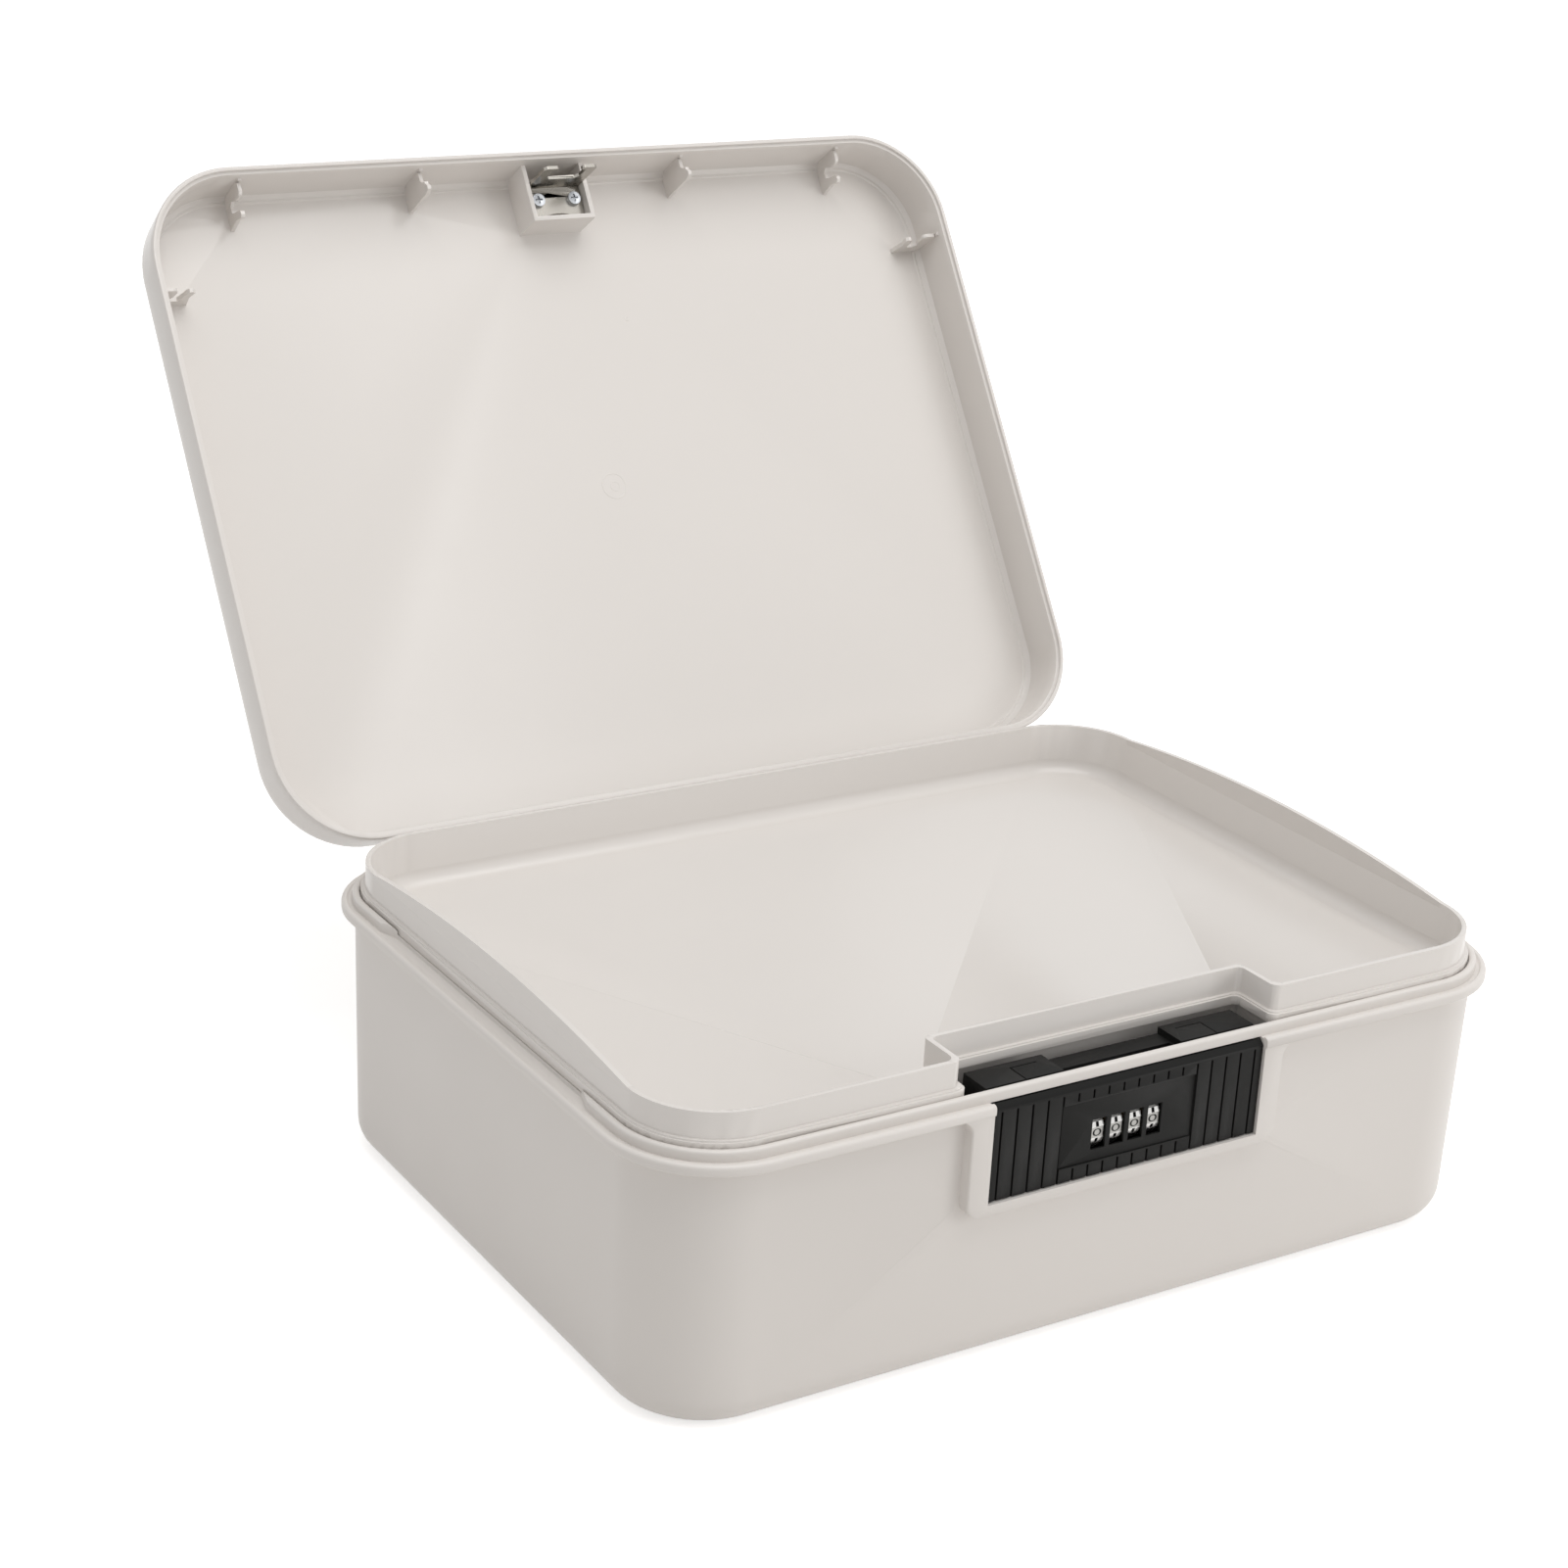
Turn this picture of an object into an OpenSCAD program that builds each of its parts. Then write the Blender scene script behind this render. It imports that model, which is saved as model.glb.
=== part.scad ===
// Combination lock box with a lift-out tray, drawn with its lid open on its stops.
// All sizes are in millimetres. X runs along the front, the front faces -Y and Z is up.
// The origin is the middle of the box's footprint, on the surface it stands on.

/* [Base] */
// Width over the rim's outer edge
base_w = 310; // [300:1:340]
// Depth over the rim's outer edge
base_d = 229.5; // [220:0.5:250]
// Height of the rim's top face
rim_z = 85.3; // [84:0.1:110]
// Corner radius of the rim's outer edge
corner_r = 34; // [30:0.5:42]
// Thickness of the base's side walls
wall_t = 2.6; // [2.4:0.1:3]
// Thickness of the base's bottom
floor_t = 2.4; // [2:0.1:4]
// Radius of the rounded edge under the base
bottom_r = 9.4; // [7:0.1:10]
// Inward lean of a wall from the rim to the bottom
draft = 1; // [0.5:0.1:1.4]

/* [Rim] */
// How far the lip stands out from the wall
lip_w = 4.3; // [4:0.1:5]
// Height of the lip's outer face
lip_h = 3.4; // [3:0.1:5]
// Radius of the lip's upper edge
lip_edge_r = 1.2; // [0.8:0.1:1.4]
// Distance of the raised bead from the lip's edge
bead_inset = 3.4; // [3:0.1:3.6]
// Width of the raised bead
bead_w = 2.3; // [2:0.1:2.4]
// Height of the bead above the lip
bead_h = 2.7; // [2:0.1:3]
// Length of the finger gap in the bead at each side
bead_gap = 136; // [100:1:150]

/* [Lid] */
// How far the lid's edge stands out over the lip
lid_over = 1.8; // [1.6:0.1:2]
// Corner radius of the lid's edge
lid_corner_r = 33; // [30:0.5:40]
// Clear depth inside the lid
lid_depth = 18.9; // [18:0.1:30]
// Thickness of the lid's roof
roof_t = 2.2; // [2:0.1:3]
// Thickness of the lid's side walls
lid_wall_t = 2.6; // [2.2:0.1:3]
// Radius of the rounded edge round the roof
lid_edge_r = 8; // [6:0.5:9]
// Angle through which the lid opens
lid_open = 123.6; // [100:0.1:124]

/* [Tray] */
// Distance from the lip's edge to the tray's wall
tray_inset = 7.5; // [7.3:0.1:9]
// Height of the tray's edge above the lip
tray_rise = 12.3; // [8:0.1:14]
// Depth of the tray below its edge
tray_depth = 17.6; // [14:0.1:22]
// Thickness of the tray's walls and floor
tray_t = 1.6; // [1.2:0.1:2.2]
// Width of the notch that clears the lock
notch_w = 112; // [106:1:120]
// Depth of the notch behind the tray's front wall
notch_d = 16.2; // [15:0.1:20]

/* [Hinge] */
// Distance of each hinge from the middle of the box
hinge_x = 85; // [70:1:100]
// Distance of the hinge axis behind the lip's edge
hinge_back = 5.4; // [5.3:0.1:6]
// Radius of a hinge knuckle
knuckle_r = 3.3; // [3:0.1:3.4]
// Width of the lid's knuckle
knuckle_w = 20; // [16:1:26]
// Width of each of the base's two ears beside it
ear_w = 8; // [6:0.5:10]
// Radius of the hinge pins
pin_r = 1.25; // [1:0.05:1.5]

/* [Lock] */
// Width of the black front plate
plate_w = 96.7; // [90:0.1:102]
// Height of the front plate
plate_h = 30.4; // [29.5:0.1:32]
// Thickness of the front plate
plate_t = 2.2; // [2:0.1:2.4]
// How far the front plate lies behind the lip's outer edge
plate_back = 1.55; // [1.2:0.05:1.8]
// Travel of the front plate when it is pushed in
push = 2.5; // [2:0.1:2.6]
// Spacing of the grip grooves
groove_pitch = 5.35; // [4:0.05:6]
// Width and depth of a grip groove
groove_w = 0.7; // [0.4:0.1:1]
// Height of the smooth panel
panel_h = 20; // [17:0.5:21]
// Width of each end block of the lock's housing
block_w = 27; // [24:0.5:29]

/* [Dials] */
// Radius over the grips of a number dial
dial_r = 9; // [8.4:0.1:9.1]
// Width of a number dial
dial_w = 4.5; // [4.2:0.1:4.6]
// Spacing of the number dials
dial_pitch = 6.7; // [6.6:0.1:7]
// Radius of the dials' axle
axle_r = 1; // [0.8:0.05:1.1]
// Radius of the code disc beside each dial
disc_r = 7.6; // [7:0.1:7.8]

/* [Catch] */
// Width of the steel catch
catch_w = 20.8; // [20:0.1:24]
// Thickness of the catch's sheet steel
catch_t = 1.2; // [1:0.1:1.4]
// Distance of the catch's plate above the lip when the lid is shut
catch_rise = 9; // [8:0.1:11]
// Reach of the catch's hooks below the lip when the lid is shut
catch_reach = 8.1; // [8:0.1:8.2]

/* [Hidden] */
$fn = 64;

// Clearances: between fixed pieces, between pieces that move past each other, and round a turning shaft
gap = 0.3;
run_gap = 0.35;
shaft_gap = 0.05;
dials = 4;
cut = 60; // long enough to cut through any piece of the lock

// Heights and depths of the rim
bead_in = bead_inset + bead_w;
bead_top = rim_z + bead_h;
bead_edge_r = 0.9;
channel_z = rim_z - 0.5;
ridge_w = 0.5;
ledge_z = rim_z + 0.7;
wall_in = lip_w + wall_t;
foot_in = lip_w + draft;
floor_in = foot_in + bottom_r;
inner_r = bottom_r - wall_t - 0.5;
front_y = -base_d / 2;

// The lid, in its place with the lid shut
roof_z = rim_z + lid_depth;
lid_lean = 0.9;
lid_skirt_t = 1.4;
rib_places = [-119, -52, 52, 119];
side_rib_y = -77;

// The hinge axis
hinge_y = base_d / 2 + hinge_back;
hinge_z = rim_z + 1.4;
ear_gap = 0.4;
bracket_h = 26;
stop_h = 16;
lug_t = 3;
lug_l = 8;
lug_w = knuckle_w - 6;

// The front plate and the window panel in it, from the front to the back
plate_y = front_y + plate_back;
plate_rear = plate_y + plate_t;
plate_top = rim_z - 0.9;
plate_bottom = plate_top - plate_h;
plate_mid_z = plate_top - plate_h / 2;
panel_w = 9 * groove_pitch;
panel_step = 0.5;
window_t = 0.8;
window_w = dial_w + 2 * gap;
window_h = 9.7;
disc_t = 1.2;
dial_z = plate_mid_z - 2.15;
dial_y = plate_y + panel_step + window_t + sqrt(pow(dial_r + gap, 2) - pow(window_h / 2, 2));

// The aperture in the base's front and the raised frame round it
frame_w = 112;
frame_drop = 3.5;
frame_back = 0.6;
frame_edge = 1;
frame_r = 5;
aperture_w = plate_w + 2 * gap;
aperture_z = plate_bottom - gap;

// The lock's housing, behind the plate's inmost place
housing_w = plate_w - 0.4;
housing_y = plate_rear + push + gap;
block_top = rim_z + 2.3;
deck_z = rim_z + 0.1;
deck_y = housing_y + 4.4;
head_rear = housing_y + 11;
spine_y = dial_y + dial_r + push + 0.4;
spine_t = 1.8;
body_rear = spine_y + spine_t;
shoulder_z = rim_z - 8.3;
housing_z = aperture_z + gap;
housing_t = 1.8;
cavity_z = housing_z + housing_t;
cover_t = 1.6;
cover_screw_x = housing_w / 2 - 5.15;
cover_screw_z = [housing_z + 3.5, shoulder_z - 4];
screw_r = 1.25;
screw_gap = 0.05;

// The ears that hold the housing to the base
lock_ear_w = 9.5;
lock_ear_y = housing_y + 5.2;
lock_ear_t = 2.2;
lock_boss_y = front_y + lip_w + 1;
lock_ear_x = housing_w / 2 + 4.9;
lock_ear_heights = [housing_z + 4.5, shoulder_z - 3.5];

// The guide posts on the front plate and the springs round them
post_x = plate_w / 2 - 13.35;
post_r = 2.5;
post_l = 16;
post_z = plate_mid_z + 0.8;
pocket_r = 4.3;
pocket_d = 7.2;
spring_r = 3.6;
spring_wire_r = 0.4;
spring_turns = 7;
spring_l = push + gap + pocket_d - 0.1;

// The carrier behind the plate
cheek_in = 1.5 * dial_pitch + dial_w / 2 + 1.5;
cheek_t = 2;
carrier_w = 2 * (cheek_in + 6.2);
cavity_w = carrier_w + 1;
carrier_z = [cavity_z + 0.5, shoulder_z + 2];
latch_tab_t = 1.2;
carrier_y = plate_rear + latch_tab_t;
carrier_t = 1.8;
carrier_dip = 12; // half width of the low part that passes under the catch
carrier_screw_x = cheek_in + 3.7;
carrier_screw_z = [carrier_z[0] + 1.9, carrier_z[1] - 2.1];
carrier_hole = sqrt(pow(dial_r, 2) - pow(dial_y - carrier_y - carrier_t, 2)) + 0.5;

// The latch bar
latch_z = rim_z - 5.7;
latch_t = 1.6;
nose_w = 12.4;
nose_top = latch_z + 3.8;
nose_tip = plate_rear + 2.8;
bar_y = plate_rear + 6.8;
bar_w = 2.4;
arm_x = cheek_in + 3.4;
arm_w = 4.4;

// The catch on the lid, in its place with the lid shut
catch_y = plate_rear + 3.4;
catch_z = rim_z + catch_rise;
catch_rear = catch_y + 12.2;
hook_z = rim_z - catch_reach;
hook_h = latch_z - hook_z - 0.4;
hook_in = 4.7;
prong_in = nose_w / 2 + gap;
catch_box_w = catch_w + 3.6;
catch_box_z = rim_z + 5.2;
catch_box_rear = catch_rear + 2.4;
catch_box_t = 1.6;
catch_screw_x = 7.1;
catch_screw_y = catch_y + 5.9;

// Points along an arc, angles in degrees
function arc(x, y, r, from, to, steps = 6) =
    [for (i = [0:steps]) let (a = from + (to - from) * i / steps) [x + r * cos(a), y + r * sin(a)]];

// The middle of a dial across the lock
function dial_x(i) = (i - (dials - 1) / 2) * dial_pitch;

// A rectangle with round corners, as a flat shape
module rounded(w, d, r) {
    square([w - 2 * r, d], center = true);
    square([w, d - 2 * r], center = true);
    for (x = [-1, 1], y = [-1, 1]) translate([x * (w / 2 - r), y * (d / 2 - r)]) circle(r);
}

// Carries a wall's profile round a rounded rectangle.
// The profile's x is the distance in from the outline, and its y the height.
module around(w, d, r) {
    module corner() rotate_extrude(angle = 90) translate([r, 0]) mirror([1, 0]) children();
    for (turn = [0, 180]) rotate(turn) {
        translate([-(w / 2 - r), -d / 2, 0]) rotate([90, 0, 90]) linear_extrude(w - 2 * r) children();
        translate([w / 2, -(d / 2 - r), 0]) rotate([90, 0, 180]) linear_extrude(d - 2 * r) children();
        translate([w / 2 - r, d / 2 - r, 0]) corner() children();
        translate([-(w / 2 - r), d / 2 - r, 0]) rotate(90) corner() children();
    }
}

// A box given by its range along each axis
module block(x, y, z) translate([x[0], y[0], z[0]]) cube([x[1] - x[0], y[1] - y[0], z[1] - z[0]]);

// A flat shape in X and Z, made thick from y to y + t
module upright(y, t) translate([0, y + t, 0]) rotate([90, 0, 0]) linear_extrude(t) children();

// A flat shape in Y and Z, made thick along X, centred on x
module crosswise(x, t) translate([x - t / 2, 0, 0]) rotate([90, 0, 90]) linear_extrude(t) children();

// A cylinder along Y from y to y + l
module along_y(r, y, l) translate([0, y, 0]) rotate([-90, 0, 0]) cylinder(r = r, h = l);

// A cylinder along X, centred on x
module along_x(r, x, l) translate([x - l / 2, 0, 0]) rotate([0, 90, 0]) cylinder(r = r, h = l);

// A pan-head screw whose shank points along -Y from y, with its head behind
module screw(y, l, head_r = 2.3) {
    along_y(screw_r, y - l, l);
    along_y(head_r, y, 1.3);
}

// The place of the lid: its pieces are drawn shut, then swung open about the hinge axis
module swung_open()
    translate([0, hinge_y, hinge_z]) rotate([-lid_open, 0, 0]) translate([0, -hinge_y, -hinge_z]) children();

// The section of the base's wall, with its lip, channel and bead
module base_section() {
    polygon(concat(
        arc(lip_edge_r, rim_z - lip_edge_r, lip_edge_r, 90, 180),
        arc(0.8, rim_z - lip_h + 0.8, 0.8, 180, 270, 3),
        arc(lip_w - 1.2, rim_z - lip_h - 1.2, 1.2, 90, 0, 4),
        arc(foot_in + bottom_r, bottom_r, bottom_r, 180, 270, 9),
        [[floor_in, floor_t]],
        arc(foot_in + wall_t + inner_r, floor_t + inner_r, inner_r, 270, 180, 6),
        [[wall_in, ledge_z], [bead_in, ledge_z]],
        arc(bead_in - bead_edge_r, bead_top - bead_edge_r, bead_edge_r, 0, 90, 4),
        arc(bead_inset + bead_edge_r, bead_top - bead_edge_r, bead_edge_r, 90, 180, 4),
        [[bead_inset, channel_z], [lip_edge_r + ridge_w + 0.5, channel_z], [lip_edge_r + ridge_w, rim_z]]
    ));
}

// The gap in the bead at one side, with slanted ends, where fingers reach the tray
module bead_gap_cut() {
    taper = 9;
    x = base_w / 2;
    translate([0, 0, channel_z]) linear_extrude(10) polygon([
        [x - bead_in, bead_gap / 2 - taper], [x - bead_inset + 0.5, bead_gap / 2],
        [x - bead_inset + 0.5, -bead_gap / 2], [x - bead_in, -bead_gap / 2 + taper]]);
}

// The outline of the raised frame round the lock, drawn in by the distance given
module frame_outline(in) {
    r = frame_r - in;
    z = aperture_z - frame_drop + in;
    half = frame_w / 2 - in;
    top = rim_z - lip_h + 0.5;
    translate([-half, z + r]) square([2 * half, top - z - r]);
    translate([-half + r, z]) square([2 * (half - r), r + 1]);
    for (side = [0, 1]) mirror([side, 0]) {
        translate([half - r, z + r]) circle(r);
        // Soft turn from the lip down into the frame
        translate([half - 0.01, top - frame_r]) difference() {
            square(frame_r);
            translate([frame_r, 0]) circle(frame_r);
        }
    }
}

// The raised frame round the lock, with a soft front edge
module lock_frame() {
    y = front_y + frame_back;
    upright(y + frame_edge, wall_in - 0.5 - frame_back - frame_edge) frame_outline(0);
    for (step = [0:3]) {
        a = 90 * step / 4;
        upright(y + frame_edge * (1 - sin(a + 22.5)), frame_edge) frame_outline(frame_edge * (1 - cos(a)));
    }
}

// What is cut away for the lock: all but the bead, which bridges the gap over the plate
module lock_opening() difference() {
    block([-aperture_w / 2, aperture_w / 2], [front_y - 5, head_rear], [aperture_z, bead_top + 5]);
    block([-aperture_w, aperture_w], [front_y + bead_inset, front_y + bead_in], [channel_z, bead_top + 9]);
}

// A base ear of the hinge: a ring on a bracket that stands out from the rear wall under the lip
module hinge_ear(x) {
    root_y = base_d / 2 - lip_w - 0.8;
    difference() {
        union() {
            translate([0, hinge_y, hinge_z]) along_x(knuckle_r, x, ear_w);
            crosswise(x, ear_w) polygon([
                [root_y, hinge_z - bracket_h], [root_y, rim_z - 1.2], [hinge_y - knuckle_r, rim_z - 1.2],
                [hinge_y - knuckle_r, hinge_z], [hinge_y + knuckle_r, hinge_z],
                [hinge_y + knuckle_r - 0.6, hinge_z - 5]]);
        }
        translate([0, hinge_y, hinge_z]) along_x(pin_r + shaft_gap / 2, x, ear_w + 1);
    }
}

// The web between two ears, which stops the lid's lug
module lid_stop(x) {
    stop_top = hinge_z - knuckle_r - 1.2;
    crosswise(x, knuckle_w + 2 * ear_gap + 1) polygon([
        [base_d / 2 - lip_w - 0.8, hinge_z - stop_h], [base_d / 2 - lip_w - 0.8, stop_top],
        [hinge_y - lug_t / 2 - gap, stop_top], [hinge_y - lug_t / 2 - gap, stop_top - 4]]);
}

module base_tub() color("#DAD5D0") {
    difference() {
        union() {
            around(base_w, base_d, corner_r) base_section();
            linear_extrude(floor_t)
                rounded(base_w - 2 * floor_in, base_d - 2 * floor_in, corner_r - floor_in);
            lock_frame();
            for (side = [-1, 1]) {
                for (ear = [-1, 1])
                    hinge_ear(side * hinge_x + ear * (knuckle_w / 2 + ear_gap + ear_w / 2));
                lid_stop(side * hinge_x);
                for (z = lock_ear_heights)
                    translate([side * lock_ear_x, 0, z]) along_y(3.4, lock_boss_y, lock_ear_y - lock_boss_y);
            }
        }
        for (side = [0, 1]) mirror([side, 0, 0]) bead_gap_cut();
        lock_opening();
        for (side = [-1, 1], z = lock_ear_heights)
            translate([side * lock_ear_x, 0, z]) along_y(screw_r + screw_gap, lock_ear_y - 5, cut);
    }
}

module hinge_pins() color("#B9BCC0")
    for (side = [-1, 1])
        translate([0, hinge_y, hinge_z]) along_x(pin_r, side * hinge_x, knuckle_w + 2 * (ear_gap + ear_w));

// The fixed black housing: two end blocks with a lower deck between them, over a cavity for the dials
module lock_housing() color("#2A2A2B") difference() {
    union() {
        block([-housing_w / 2, housing_w / 2], [housing_y, body_rear], [housing_z, shoulder_z]);
        block([-housing_w / 2, housing_w / 2], [housing_y, head_rear], [shoulder_z - 1, deck_z]);
        for (side = [0, 1]) mirror([side, 0, 0]) {
            housing_block();
            block([-housing_w / 2 - lock_ear_w, -housing_w / 2 + 1], [lock_ear_y, lock_ear_y + lock_ear_t],
                  [housing_z + 0.5, shoulder_z - 1]);
        }
    }
    // Cavity for the dials, open at the back, and for the latch above it
    block([-cavity_w / 2, cavity_w / 2], [housing_y - 1, body_rear + 1], [cavity_z, shoulder_z]);
    block([-cavity_w / 2, cavity_w / 2], [housing_y - 1, head_rear - 1.7], [cavity_z, deck_z - 1.6]);
    // Mouth for the catch
    block([-cavity_w / 2, cavity_w / 2], [housing_y - 1, deck_y], [shoulder_z, deck_z + 1]);
    // Guide bores and spring pockets
    for (side = [-1, 1]) translate([side * post_x, 0, post_z]) {
        along_y(post_r + shaft_gap, housing_y - 1, cut);
        along_y(pocket_r, housing_y - 1, pocket_d + 1);
    }
    for (side = [-1, 1]) {
        for (z = lock_ear_heights)
            translate([side * lock_ear_x, 0, z]) along_y(screw_r + screw_gap, housing_y, cut);
        for (z = cover_screw_z)
            translate([side * cover_screw_x, 0, z]) along_y(screw_r + screw_gap, body_rear - 5, cut);
    }
}

// An end block that stands up behind the bead, with a shallow seam round its inset cap
module housing_block() {
    cap_w = 13;
    seam = 0.4;
    difference() {
        block([-housing_w / 2, -housing_w / 2 + block_w], [housing_y, head_rear],
              [shoulder_z - 1, block_top]);
        block([-housing_w / 2 + block_w - cap_w - seam, -housing_w / 2 + block_w - cap_w],
              [housing_y - 1, head_rear - 3], [block_top - seam, block_top + 1]);
        block([-housing_w / 2 + block_w - cap_w, -housing_w / 2 + block_w - 4],
              [head_rear - 3 - seam, head_rear - 3], [block_top - seam, block_top + 1]);
    }
}

module housing_screws() color("#B9BCC0")
    for (side = [-1, 1], z = lock_ear_heights)
        translate([side * lock_ear_x, 0, z]) screw(lock_ear_y + lock_ear_t, lock_ear_t + 4.5);

module lock_cover() color("#2A2A2B") difference() {
    block([-housing_w / 2, housing_w / 2], [body_rear, body_rear + cover_t], [housing_z, shoulder_z]);
    for (side = [-1, 1], z = cover_screw_z)
        translate([side * cover_screw_x, 0, z]) along_y(screw_r + screw_gap, body_rear - 1, cut);
}

module cover_screws() color("#B9BCC0")
    for (side = [-1, 1], z = cover_screw_z)
        translate([side * cover_screw_x, 0, z]) screw(body_rear + cover_t, cover_t + 4.5);

// The comb that blocks the code discs until each turns its gate to it
module fence_comb() color("#C9A45A") {
    tooth_h = 1.2;
    tooth_w = 0.6;
    level = [dial_z - tooth_h / 2, dial_z + tooth_h / 2];
    block([-cavity_w / 2 + 0.2, cavity_w / 2 - 0.2], [spine_y, body_rear], level);
    for (i = [0:dials - 1])
        block([disc_x(i) - tooth_w / 2, disc_x(i) + tooth_w / 2],
              [dial_y + disc_r + gap, spine_y + 0.5], level);
}

// The section of the lid's wall, with the stepped edge that goes over the lip
module lid_section() {
    top = roof_z + roof_t;
    polygon(concat(
        [[0.4, rim_z - 0.8], [0, rim_z - 0.4]],
        arc(lid_lean + lid_edge_r, top - lid_edge_r, lid_edge_r, 180, 90, 8),
        [[lid_lean + lid_edge_r, roof_z], [lid_wall_t + lid_lean + 2.4, roof_z],
         [lid_wall_t + lid_lean + 2.0, roof_z - 0.5], [lid_wall_t + lid_lean + 1.2, roof_z - 0.5]],
        [[lid_wall_t + lid_lean - 0.2, roof_z - 2], [lid_wall_t, rim_z + gap]],
        [[lid_skirt_t, rim_z + gap], [lid_skirt_t, rim_z - 0.8]]
    ));
}

// Where a rib or box inside the lid is rooted in its wall and roof.
// x is the distance in from the wall's inner face.
function lid_root(z) = [[3.5, roof_z + 0.5], [1.2, roof_z - 0.8], [-0.6, roof_z - 4.4], [-0.6, z]];

// A thin rib in the lid, hooked half-way up, standing in from the wall by the length given
module lid_rib(reach) {
    crest = rim_z + 9.5;
    polygon(concat(
        lid_root(rim_z + 3), [[1, rim_z + 3]],
        arc(1.6, crest - 3.6, 1.2, 180, 270, 3), arc(reach - 3.2, crest - 2.8, 2, 270, 360, 4),
        [[reach - 1.5, crest + 0.5], [reach - 2.6, crest + 3.2], [reach + 2.8, roof_z + 0.5]]
    ));
}

// The lid's knuckle, its arm to the rear wall and the lug that meets the stop
module lid_knuckle(x) difference() {
    root_y = base_d / 2 + lid_over - 0.9;
    union() {
        translate([0, hinge_y, hinge_z]) along_x(knuckle_r, x, knuckle_w);
        crosswise(x, knuckle_w) polygon([
            [root_y, hinge_z], [root_y, hinge_z + 10], [root_y + 2.1, hinge_z + 9],
            [hinge_y + knuckle_r * 0.94, hinge_z + 1.1], [hinge_y, hinge_z]]);
        translate([0, hinge_y, hinge_z]) rotate([lid_open, 0, 0])
            block([x - lug_w / 2, x + lug_w / 2], [-lug_t / 2, lug_t / 2], [-lug_l, -pin_r - 0.6]);
    }
    translate([0, hinge_y, hinge_z]) along_x(pin_r + shaft_gap, x, knuckle_w + 1);
}

// The box moulded in the lid that holds the catch
module catch_box() {
    wall_y = front_y - lid_over + lid_wall_t;
    inside = [-catch_box_w / 2 + catch_box_t, catch_box_w / 2 - catch_box_t];
    difference() {
        translate([0, wall_y, 0]) crosswise(0, catch_box_w) polygon(concat(
            lid_root(catch_box_z),
            [[catch_box_rear - wall_y, catch_box_z], [catch_box_rear - wall_y, roof_z + 0.5]]));
        block(inside, [wall_y - 1, catch_box_rear - catch_box_t], [catch_box_z - 1, catch_z + catch_t]);
        block(inside, [wall_y - 1, catch_y - 0.6], [catch_box_z - 1, roof_z - 0.5]);
        for (side = [-1, 1]) translate([side * catch_screw_x, catch_screw_y, catch_box_z])
            cylinder(r = screw_r + screw_gap, h = roof_z - 1.5 - catch_box_z);
    }
}

module lid_shell() color("#DAD5D0") swung_open() {
    w = base_w + 2 * lid_over;
    d = base_d + 2 * lid_over;
    roof_in = lid_lean + lid_edge_r;
    rib_t = 1.3;
    around(w, d, lid_corner_r) lid_section();
    translate([0, 0, roof_z]) linear_extrude(roof_t)
        rounded(w - 2 * roof_in, d - 2 * roof_in, lid_corner_r - roof_in);
    for (x = rib_places) translate([0, -d / 2 + lid_wall_t, 0]) crosswise(x, rib_t) lid_rib(7);
    for (side = [-1, 1]) translate([side * (w / 2 - lid_wall_t), side_rib_y, 0])
        rotate(side * 90) crosswise(0, rib_t) lid_rib(7);
    catch_box();
    for (side = [-1, 1]) lid_knuckle(side * hinge_x);
}

module catch_plate() color("#C9CCD0") swung_open() {
    arc_r = 16;
    difference() {
        block([-catch_w / 2, catch_w / 2], [catch_y, catch_rear], [catch_z, catch_z + catch_t]);
        translate([0, catch_rear + arc_r - 1.2, catch_z - 1]) cylinder(r = arc_r, h = catch_t + 2);
        for (side = [-1, 1]) translate([side * catch_screw_x, catch_screw_y, catch_z - 1])
            cylinder(r = screw_r + screw_gap, h = catch_t + 2);
    }
    upright(catch_y, catch_t) {
        translate([-catch_w / 2, rim_z + 1]) square([catch_w, catch_rise - 1 + catch_t]);
        for (side = [0, 1]) mirror([side, 0]) polygon([
            [catch_w / 2, rim_z + 1], [catch_w / 2, hook_z + 1], [catch_w / 2 - 1, hook_z],
            [hook_in + 0.6, hook_z], [hook_in, hook_z + 0.6], [hook_in, hook_z + hook_h],
            [prong_in, hook_z + hook_h], [prong_in, rim_z - 0.6], [prong_in - 1.4, rim_z + 1]]);
    }
}

module catch_screws() color("#B9BCC0") swung_open()
    for (side = [-1, 1]) translate([side * catch_screw_x, catch_screw_y, catch_z]) {
        cylinder(r = screw_r, h = catch_t + 6.5);
        difference() {
            translate([0, 0, -1.4]) cylinder(r = 2.4, h = 1.4);
            for (turn = [0, 90]) rotate(turn) block([-1.4, 1.4], [-0.3, 0.3], [-1.5, -0.6]);
        }
    }

// The tray's outline, drawn in by the distance given, with the notch for the lock
module tray_outline(in) {
    x = notch_w / 2 + in;
    y = front_y + tray_inset + notch_d + in;
    front = front_y + tray_inset + in;
    r = 3;
    difference() {
        rounded(base_w - 2 * (tray_inset + in), base_d - 2 * (tray_inset + in), corner_r - tray_inset - in);
        translate([0, y - cut / 2]) rounded(2 * x, cut, 2);
        for (side = [0, 1]) mirror([side, 0]) translate([x - 0.01, front - 0.01]) difference() {
            square(r);
            translate([r, r]) circle(r);
        }
    }
}

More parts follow.
